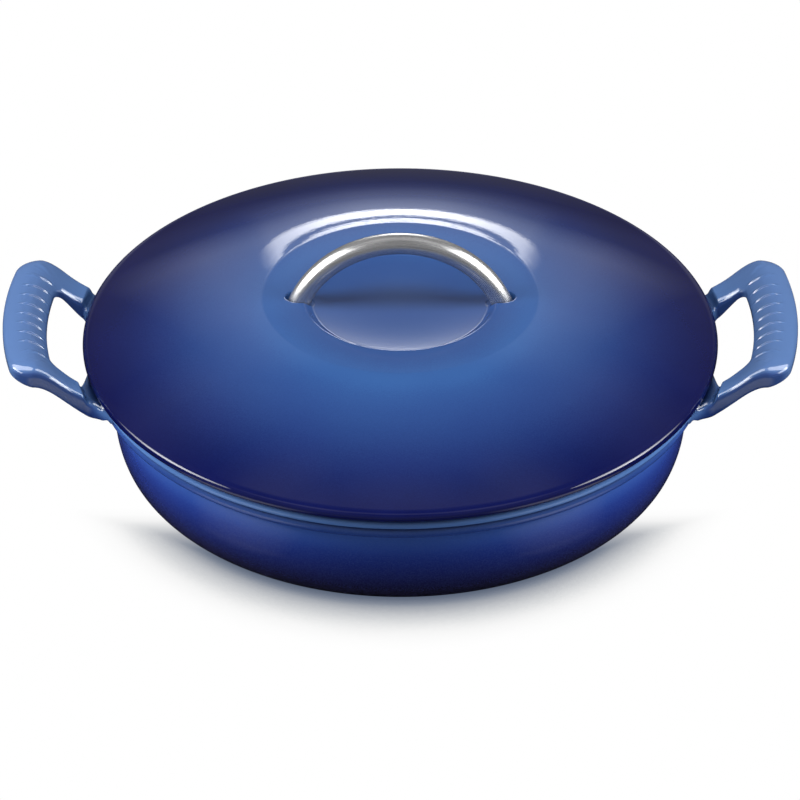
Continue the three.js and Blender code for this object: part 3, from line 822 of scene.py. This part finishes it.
def lid_profile():
    """Radius and height from the middle of the underside, round the edge, to the dish."""
    crease = LID_RADIUS - LID_BEAD
    start = np.array([
        SHOULDER_RADIUS + SLOPE_START,
        SHOULDER_Z - SLOPE_START * math.tan(SHOULDER_SLOPE),
    ])
    chord = np.array([crease, LID_EDGE_Z + LID_BEAD]) - start
    end_slope = -2.0 * math.atan2(chord[1], chord[0]) - SHOULDER_SLOPE
    radius = np.linalg.norm(chord) / (2.0 * math.sin((end_slope - SHOULDER_SLOPE) / 2.0))
    centre = start - radius * np.array([math.sin(SHOULDER_SLOPE), math.cos(SHOULDER_SLOPE)])

    def slope(r, below=0.0):
        return centre[1] + math.sqrt((radius - below) ** 2 - (r - centre[0]) ** 2)

    def dish(r, below=0.0):
        share = min(r / DISH_FLOOR_RADIUS, 1.0)
        depth = DISH_DEPTH + (DISH_LIP_HEIGHT - DISH_DEPTH) * share ** 3
        climb = float(smoothstep(r, DISH_FLOOR_RADIUS, DISH_RADIUS))
        return SHOULDER_Z - below - depth * (1.0 - climb)

    def run(height, first, last, count, below=0.0):
        return [(r, height(r, below), 0.0) for r in np.linspace(first, last, count)]

    ring_out = MOUTH_RADIUS - LOCATING_GAP
    ring_in = ring_out - LOCATING_WIDTH
    ring_z = SEAT_Z - LOCATING_DEPTH
    seat_out = crease - SEAT_INSET
    seat_in = seat_out - SEAT_WIDTH
    under = run(dish, 0.0, DISH_FLOOR_RADIUS, 8, LID_WALL)
    under += run(dish, DISH_FLOOR_RADIUS + 1.0, DISH_RADIUS, 12, LID_WALL)
    under += [(UNDER_SHOULDER_RADIUS, SHOULDER_Z - LID_WALL, UNDER_SHOULDER_FILLET)]
    under += run(slope, UNDER_SLOPE_RADIUS, ring_in - LOCATING_LEAD, 16, LID_WALL)
    under += [
        (ring_in, slope(ring_in, LID_WALL), 2.0),
        (ring_in + LOCATING_DRAFT, ring_z, 0.8),
        (ring_out - LOCATING_DRAFT, ring_z, 0.8),
        (ring_out, slope(ring_out, LID_WALL), 1.0),
        (seat_in, slope(seat_in, LID_WALL), 0.6),
        (seat_in, SEAT_Z, 0.5),
        (seat_out, SEAT_Z, 0.5),
        (seat_out + SEAT_CHAMFER, SEAT_Z + SEAT_CHAMFER, 0.3),
        (crease, LID_EDGE_Z - LID_BEAD, 0.0),
    ]
    path = rounded(under, COARSE_TURN)
    path += arc((crease, LID_EDGE_Z), LID_BEAD, -QUARTER, LID_BEAD_END, 22)[1:]
    top = run(slope, crease + SLOPE_LEAD_IN, SHOULDER_RADIUS + SLOPE_LEAD_OUT, 42)
    top += [(SHOULDER_RADIUS, SHOULDER_Z, SHOULDER_FILLET)]
    top += run(dish, DISH_RADIUS, DISH_FLOOR_RADIUS, 48)
    top += run(dish, DISH_FLOOR_RADIUS - 0.5, 0.0, 24)
    path += rounded(top, FINE_TURN)
    return path


def socket_dent(x, y, z):
    """Sinks the wells for the bar's feet into the top."""
    share = np.hypot((np.abs(x) - WELL_X) / WELL_HALF_LENGTH, y / WELL_HALF_WIDTH)
    inside = smoothstep((1.0 - share) * WELL_HALF_WIDTH, *WELL_EDGE)
    return z + (np.minimum(SOCKET_FLOOR_Z, z) - z) * inside


def boss_drop(x, y, z):
    """Lowers the underside to the screw bosses."""
    gap = np.hypot(np.abs(x) - SOCKET_X, y) - BOSS_RADIUS
    inside = smoothstep(-gap, *BOSS_EDGE)
    return z + (np.minimum(BOSS_BOTTOM_Z, z) - z) * inside


def lid_angles():
    """Angles round the lid, closer together where the wells are."""
    near = np.linspace(-WELL_HALF_ANGLE, WELL_HALF_ANGLE, WELL_COLUMNS)
    far = np.linspace(WELL_HALF_ANGLE, math.pi - WELL_HALF_ANGLE, OPEN_COLUMNS)[1:-1]
    half = np.concatenate([near, far])
    return np.concatenate([half, half + math.pi])


def lid_mesh():
    def longest(a, b):
        return FINE_LENGTH if FINE_FROM < (a[0] + b[0]) / 2.0 < FINE_TO else COARSE_LENGTH

    path = refined(lid_profile(), longest)
    widest = max(range(len(path)), key=lambda i: path[i][0])
    angles = lid_angles()
    points, faces = spun(path, angles)
    rows = np.repeat(np.arange(1, len(path) - 1), len(angles))
    rows = np.concatenate([rows, [0, len(path) - 1]])
    x, y, z = points.T
    z = np.where(rows > widest, socket_dent(x, y, z), boss_drop(x, y, z))
    return np.column_stack([x, y, z]), faces


# Lid handle

def bar_mesh():
    """Points and faces of the arch, cut flat at its feet, with U along it and V round it."""
    reach = math.asin((BAR_END_Z - 2.0 * BAR_RADIUS - ARCH_CENTRE_Z) / ARCH_RADIUS)
    angles = np.linspace(math.pi - reach, reach, BAR_STATIONS)
    sides = even_turn(BAR_SIDES)
    radial = ARCH_RADIUS + BAR_RADIUS * np.cos(sides)
    y = BAR_RADIUS * np.sin(sides)
    v = np.abs(sides / math.pi - 1.0)
    points, uv = [], []
    for a in angles:
        z = ARCH_CENTRE_Z + radial * math.sin(a)
        points.append(np.column_stack([radial * math.cos(a), y, np.maximum(z, BAR_END_Z)]))
        uv.append(np.column_stack([np.full(BAR_SIDES, (math.pi - a) / math.pi), v]))
    return np.vstack(points), ring_faces(BAR_STATIONS, BAR_SIDES), np.vstack(uv)


# Pieces

lid_material = enamel_lid()
pot_material = enamel_pot()
bar_material = brushed_bar()
steel_material = grained(
    "fixing_steel", scale=900.0, dark=linear(128, 129, 131), light=linear(172, 172, 172),
    roughness=(0.28, 0.45), metallic=1.0)
seal_material = grained(
    "seal_silicone", scale=1200.0, dark=linear(44, 44, 47), light=linear(62, 62, 66),
    roughness=(0.55, 0.75), metallic=0.0)

bowl = make_piece("bowl", *spun(bowl_profile(), even_turn(BOWL_SEGMENTS)), pot_material)
left_handle = make_piece("left_side_handle", *handle_mesh(-1.0), pot_material)
right_handle = make_piece("right_side_handle", *handle_mesh(1.0), pot_material)
handles = (left_handle, right_handle)
for piece in (bowl, *handles):
    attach(piece, "pot")
    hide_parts("pot_body")

cover = make_piece("domed_lid", *lid_mesh(), lid_material)
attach(cover, "lid")
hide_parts("lid")

bar_points, bar_faces, bar_uv = bar_mesh()
bar = make_piece("arched_bar", bar_points, bar_faces, bar_material, bar_uv)
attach(bar, "lid")
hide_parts("lid_handle")

# The washers and screws keep the drawing's own meshes
for side in ("left", "right"):
    for node, material in (
        ("seal_washer", seal_material),
        ("handle_washer", steel_material),
        ("handle_screw", steel_material),
    ):
        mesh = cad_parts[side + "_" + node].data
        mesh.materials.clear()
        mesh.materials.append(material)


# Floor

HORIZON_LEVEL = 0.09
FLOOR_HALF = 6000.0
FLOOR_Z = -0.2
SHADOW_REACH = 0.055
SHADOW_SAMPLES = 16
SHADOW_END_Y = (-0.100, -0.045)
SHADOW_END_LEVEL = 0.85
SHADOW_GREYS = (
    (0.10, linear(86, 97, 116)),
    (0.25, linear(120, 129, 145)),
    (0.44, linear(178, 181, 187)),
    (0.50, linear(204, 206, 209)),
    (0.56, linear(225, 226, 227)),
    (0.62, linear(243, 243, 243)),
    (0.70, linear(252, 252, 252)),
    (0.80, (1.0, 1.0, 1.0)),
)
TABLE_GREY = (0.50, 0.50, 0.52)
TABLE_FRONT_Y = (-0.18, -0.38)
TABLE_FRONT_LEVELS = (0.03, 0.24)
TABLE_BACK_Y = (0.20, 0.45)
PATCH_X = 0.165
PATCH_Y = -0.185
PATCH_REACH = (0.095, 0.045)


def floor_material():
    """White to the camera with a soft shadow under the pot, and a dim table in the glaze."""
    nodes = new_material("floor")
    axes = nodes.split(nodes.coordinates("Object"))
    ray = nodes.add("ShaderNodeLightPath").outputs
    # The shadow shows only under the pot's front; further back the floor stays white
    open_side = nodes.map_range(axes["Y"], *SHADOW_END_Y, 0.0, SHADOW_END_LEVEL)
    shade = nodes.math("MAXIMUM", nodes.occlusion(SHADOW_REACH, SHADOW_SAMPLES), open_side)
    white = nodes.emission("Color", nodes.ramp(shade, SHADOW_GREYS))
    # In the glaze the table is dark, lighter further in front, with a white patch at each side
    front = nodes.map_range(axes["Y"], *TABLE_FRONT_Y, *TABLE_FRONT_LEVELS)
    beside = nodes.math("SUBTRACT", nodes.math("ABSOLUTE", axes["X"]), PATCH_X)
    apart = nodes.hypot(beside, nodes.math("SUBTRACT", axes["Y"], PATCH_Y))
    table = nodes.math("ADD", front, nodes.map_range(apart, *PATCH_REACH))
    diffuse = nodes.add("ShaderNodeBsdfDiffuse")
    nodes.link(nodes.mix(ray["Is Glossy Ray"], TABLE_GREY, table), diffuse.inputs["Color"])
    # Behind the pot it rises to the room's level, so that no horizon line is mirrored
    back = nodes.map_range(axes["Y"], *TABLE_BACK_Y, 0.0, HORIZON_LEVEL)
    horizon = nodes.emission("Strength", nodes.math("MULTIPLY", back, ray["Is Glossy Ray"]))
    table_light = nodes.add_shader(diffuse.outputs[0], horizon)
    nodes.show(nodes.mix_shader(ray["Is Camera Ray"], table_light, white))
    return nodes.owner


floor_corners = [
    (x * FLOOR_HALF, y * FLOOR_HALF, FLOOR_Z) for x, y in ((-1, -1), (1, -1), (1, 1), (-1, 1))
]
floor = make_piece("floor", floor_corners, [(0, 1, 2, 3)], floor_material())


# World

DIM_COLOUR = (0.14, 0.15, 0.175)
WHITE = (1.0, 1.0, 1.0)
MIRROR_TINT = (1.0, 0.98, 1.0)
ROOM_LEVELS = (
    (0.0, HORIZON_LEVEL), (0.10, 0.14), (0.28, 0.17), (0.55, 0.17), (0.72, 0.08),
    (0.88, 0.08), (0.94, 0.16), (0.97, 0.36), (1.0, 0.42),
)
GLOW_ASIDE = ((0.12, 0.0), (0.30, 0.46))
GLOW_HEIGHT = (
    (0.60, 0.0), (0.70, 0.32), (0.76, 0.26), (0.85, 0.04), (0.88, 0.20), (0.93, 0.80),
)


def world_light():
    """White for the camera, dim for plain light; in the glaze a room that is lighter overhead."""
    world = bpy.data.worlds.new("studio")
    bpy.context.scene.world = world
    nodes = Nodes(world)
    nodes.tree.nodes.clear()
    way = nodes.split(nodes.coordinates("Generated"))
    room = nodes.levels(way["Z"], ROOM_LEVELS)
    aside = nodes.levels(nodes.math("ABSOLUTE", way["X"]), GLOW_ASIDE)
    level = nodes.math("MULTIPLY_ADD", aside, nodes.levels(way["Z"], GLOW_HEIGHT), room)
    ray = nodes.add("ShaderNodeLightPath").outputs
    mirror = nodes.background(MIRROR_TINT, level)
    light = nodes.mix_shader(ray["Is Glossy Ray"], nodes.background(DIM_COLOUR), mirror)
    seen = nodes.mix_shader(ray["Is Camera Ray"], light, nodes.background(WHITE))
    nodes.link(seen, nodes.add("ShaderNodeOutputWorld").inputs["Surface"])


world_light()

# Lights

LIGHT_TARGET = np.array([0.0, 0.0, 0.080])
FAR = 1.4
NEAR = 0.80
ALL_ROUND = 180.0


def area_light(name, azimuth, elevation, distance, width, height, power, mirrored=False):
    """A soft light seen from the pot at azimuth (0 behind, 90 right) and elevation degrees."""
    light = bpy.data.lights.new(name, "AREA")
    light.shape = "RECTANGLE"
    light.size = width
    light.size_y = height
    light.energy = power
    holder = bpy.data.objects.new(name, light)
    a, e = math.radians(azimuth), math.radians(elevation)
    toward = np.array([math.sin(a) * math.cos(e), math.cos(a) * math.cos(e), math.sin(e)])
    holder.location = LIGHT_TARGET + toward * distance
    holder.rotation_euler = Vector(toward).to_track_quat("Z", "Y").to_euler()
    holder.visible_camera = False
    holder.visible_glossy = mirrored
    bpy.context.scene.collection.objects.link(holder)
    return holder


def light_only(source, pieces, state="INCLUDE"):
    """Lets a light or a glowing panel reach only the given pieces, or all but them."""
    receivers = bpy.data.collections.new(source.name + "_receivers")
    for piece in pieces:
        receivers.objects.link(piece)
    for member in receivers.collection_objects:
        member.light_linking.link_state = state
    source.light_linking.receiver_collection = receivers


# Boxes that are seen only as reflections, at each side of the pot:
# name, pieces, azimuth, elevation, width, height, power, shape, spread in degrees
BOXES = (
    ("box", (cover,), 90.0, 31.0, 1.30, 0.80, 3.1, "ELLIPSE", 50.0),
    ("bar_box", (bar,), 99.0, 23.0, 1.30, 0.98, 38.0, "RECTANGLE", ALL_ROUND),
    ("rib_box", handles, 70.0, 52.0, 0.70, 1.45, 25.0, "RECTANGLE", ALL_ROUND),
    ("edge_box", handles, 96.0, 30.0, 1.20, 0.34, 15.0, "RECTANGLE", ALL_ROUND),
)

for side, sign, wash_power, front_power, far_handle in (
    ("left", -1.0, 11.2, 1.95, right_handle),
    ("right", 1.0, 9.2, 1.75, left_handle),
):
    for name, pieces, azimuth, elevation, width, height, power, shape, spread in BOXES:
        box = area_light(
            side + "_" + name, sign * azimuth, elevation, FAR, width, height, power,
            mirrored=True)
        box.data.shape = shape
        box.data.spread = math.radians(spread)
        box.visible_diffuse = False
        light_only(box, pieces)
    wash = area_light(
        side + "_wash", azimuth=sign * 102.0, elevation=26.0, distance=FAR,
        width=0.66, height=0.56, power=wash_power)
    light_only(wash, (far_handle,), "EXCLUDE")
    area_light(
        side + "_front", azimuth=sign * 122.0, elevation=70.0, distance=NEAR,
        width=0.36, height=0.26, power=front_power)
    low = area_light(
        side + "_low", azimuth=sign * 98.0, elevation=-5.0, distance=0.39,
        width=0.20, height=0.09, power=0.50)
    light_only(low, (bowl,))
handle_top = area_light(
    "handle_top", azimuth=180.0, elevation=84.0, distance=NEAR,
    width=0.60, height=0.26, power=1.6)
light_only(handle_top, handles)

# Round reflector behind the pot, seen only as a reflection in the lid and its bar

PANEL_HALF_WIDTH = 450.0
PANEL_Y = 800.0
PANEL_BOTTOM_Z = 20.0
PANEL_TOP_Z = 1100.0
PANEL_CENTRE_Z = 437.0
PANEL_STRENGTH = 10.0
FIRST_BOUNCE = 1.5
DISC_REACH = 0.40
DISC_LEVELS = (
    (0.000, 0.9),
    (0.280, 0.9),
    (0.286, 0.0607),
    (0.304, 0.0607),
    (0.310, 0.9),
    (0.345, 0.9),
    (0.352, 0.0607),
    (0.398, 0.0607),
    (0.406, 0.9),
    (0.486, 0.9),
    (0.498, 0.1157),
    (0.570, 0.0855),
    (0.690, 0.0303),
    (0.860, 0.006),
    (0.960, 0.0),
)
DISC_ASIDE_REACH = 0.25
DISC_ASIDE = ((0.20, 1.0), (0.66, 0.42), (0.74, 0.10), (0.80, 0.0))
DISC_TOP_Z = (0.45, 0.65)
DISC_TOP = (
    (0.00, 1.0), (0.20, 0.28), (0.30, 0.185), (0.44, 0.12),
    (0.52, 0.082), (0.66, 0.045), (0.78, 0.025), (1.00, 0.0),
)
UPPER_Z = (0.47, 0.51)
UPPER_FADE = (0.42, 0.75, 0.9, 0.0)
WING_REACH = 0.50
WING_ASIDE = ((0.15, 0.0), (0.38, 0.048), (0.54, 0.048), (0.86, 0.0))
WING_TOP_Z = 1.2
WING_HEIGHT = ((0.17, 0.0), (0.27, 1.0), (0.56, 1.0), (0.90, 0.0))


def panel_material():
    """A glowing disc with dark rings in its lower part, and a faint wing at each side."""
    nodes = new_material("reflector")
    axes = nodes.split(nodes.coordinates("Object"))
    aside = nodes.math("ABSOLUTE", axes["X"])
    rise = nodes.math("SUBTRACT", axes["Z"], PANEL_CENTRE_Z * MM)
    reach = nodes.map_range(nodes.hypot(axes["X"], rise), 0.0, DISC_REACH)
    upper = nodes.math(
        "MULTIPLY", nodes.map_range(axes["Z"], *UPPER_Z), nodes.map_range(reach, *UPPER_FADE))
    disc = nodes.math("MAXIMUM", nodes.levels(reach, DISC_LEVELS), upper)
    disc_fade = nodes.math(
        "MULTIPLY", nodes.levels(nodes.map_range(axes["Z"], *DISC_TOP_Z), DISC_TOP),
        nodes.levels(nodes.map_range(aside, 0.0, DISC_ASIDE_REACH), DISC_ASIDE))
    wing = nodes.math(
        "MULTIPLY", nodes.levels(nodes.map_range(aside, 0.0, WING_REACH), WING_ASIDE),
        nodes.levels(nodes.map_range(axes["Z"], 0.0, WING_TOP_Z), WING_HEIGHT))
    total = nodes.math("ADD", nodes.math("MULTIPLY", disc, disc_fade), wing)
    # A second mirror image, by way of the lid, would be a white band on the handles' arms
    depth = nodes.add("ShaderNodeLightPath").outputs["Ray Depth"]
    total = nodes.math("MULTIPLY", total, nodes.math("LESS_THAN", depth, FIRST_BOUNCE))
    glow = nodes.emission("Strength", nodes.math("MULTIPLY", total, PANEL_STRENGTH))
    clear = nodes.add("ShaderNodeBsdfTransparent")
    nodes.show(nodes.add_shader(glow, clear.outputs[0]))
    return nodes.owner


panel_corners = [
    (-PANEL_HALF_WIDTH, PANEL_Y, PANEL_BOTTOM_Z),
    (PANEL_HALF_WIDTH, PANEL_Y, PANEL_BOTTOM_Z),
    (PANEL_HALF_WIDTH, PANEL_Y, PANEL_TOP_Z),
    (-PANEL_HALF_WIDTH, PANEL_Y, PANEL_TOP_Z),
]
panel = make_piece("reflector", panel_corners, [(0, 1, 2, 3)], panel_material())
panel.visible_camera = False
panel.visible_diffuse = False
panel.visible_shadow = False
light_only(panel, (cover, bar))

# Camera: in front, 4 m from the pot and 33.3 degrees above it, aimed slightly below its middle

CAMERA_PLACE = (-0.00015, -3.3426, 2.2631)
CAMERA_PITCH = math.radians(33.74)
CAMERA_LENS = 368.73
CAMERA_SENSOR = 36.0
CAMERA_CLIP_END = 50.0

camera_data = bpy.data.cameras.new("camera")
camera_data.sensor_width = CAMERA_SENSOR
camera_data.lens = CAMERA_LENS
camera_data.clip_end = CAMERA_CLIP_END
camera = bpy.data.objects.new("camera", camera_data)
camera.location = CAMERA_PLACE
camera.rotation_euler = (QUARTER - CAMERA_PITCH, 0.0, 0.0)
bpy.context.scene.collection.objects.link(camera)
bpy.context.scene.camera = camera

bpy.context.scene.view_settings.view_transform = "Standard"
